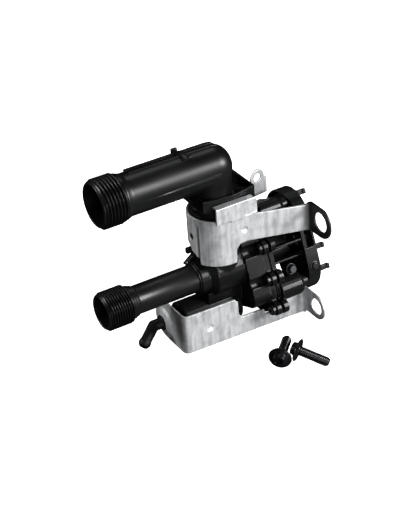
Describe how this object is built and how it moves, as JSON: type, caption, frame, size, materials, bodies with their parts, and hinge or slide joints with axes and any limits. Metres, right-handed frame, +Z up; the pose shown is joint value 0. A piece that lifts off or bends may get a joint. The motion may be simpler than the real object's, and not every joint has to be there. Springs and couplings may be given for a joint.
{
  "type": "diverter valve",
  "caption": "Black plastic diverter valve with two threaded pipes, an elbow under a cap, a clamped rear cage with an actuator cup, galvanised brackets, a hose nozzle and loose screws.",
  "frame": {"origin": "centre of the box around the whole part, on its lowest plane, which the lower bracket stands on", "axes": "+Y from the threaded pipe ends towards the actuator cup; +Z up; +X towards the side of the near bracket ear"},
  "size_m": [0.116, 0.163, 0.1401],
  "materials": {
    "black": "satin",
    "plug": "satin",
    "rubber": "matt",
    "zinc": "galvanised",
    "steel": "satin",
    "screw": "black oxide"
  },
  "bodies": {
    "valve_housing": {"upper_elbow_pipe": "black", "elbow_o_ring": "rubber", "elbow_cap": "black", "elbow_retaining_clip": "steel", "valve_body": "black", "lower_pipe": "black", "lower_pipe_o_ring": "rubber", "flange_gasket": "rubber", "rear_housing": "black", "actuator_cup": "black", "test_plug": "plug", "upper_bracket": "zinc", "lower_bracket": "zinc", "front_seat": "steel", "rear_seat": "steel", "spindle_guide": "steel", "spindle_seal": "rubber", "return_spring": "steel", "flange_screw_1": "screw", "flange_screw_2": "screw", "flange_screw_3": "screw", "flange_screw_4": "screw", "flange_screw_5": "screw", "flange_screw_6": "screw"},
    "spindle_set": {"spindle": "steel", "front_disc": "rubber", "rear_disc": "rubber", "spring_retainer": "steel"},
    "nozzle_set": {"hose_nozzle": "black", "nozzle_o_ring": "rubber"},
    "loose_screw_1": {"mounting_screw_1": "screw"},
    "loose_screw_2": {"mounting_screw_2": "screw"}
  },
  "joints": [
    {"name": "spindle_slide", "type": "slide", "parent": "valve_housing", "child": "spindle_set", "axis": [0, -1, 0], "range_m": [0, 0.006], "stiffness_N_per_m": 600, "springref_m": -0.003, "deforming": ["return_spring"]},
    {"name": "nozzle_swivel", "type": "hinge", "parent": "valve_housing", "child": "nozzle_set", "pos_m": [-0.03592, -0.02855, 0.0123], "axis": [0, 1, 0], "range_deg": [-200, 8]},
    {"name": "screw_1_lift_off", "type": "slide", "parent": "valve_housing", "child": "loose_screw_1", "axis": [0, 0, 1], "range_m": [0, 0.03]},
    {"name": "screw_2_lift_off", "type": "slide", "parent": "valve_housing", "child": "loose_screw_2", "axis": [0, 0, 1], "range_m": [0, 0.03]}
  ]
}
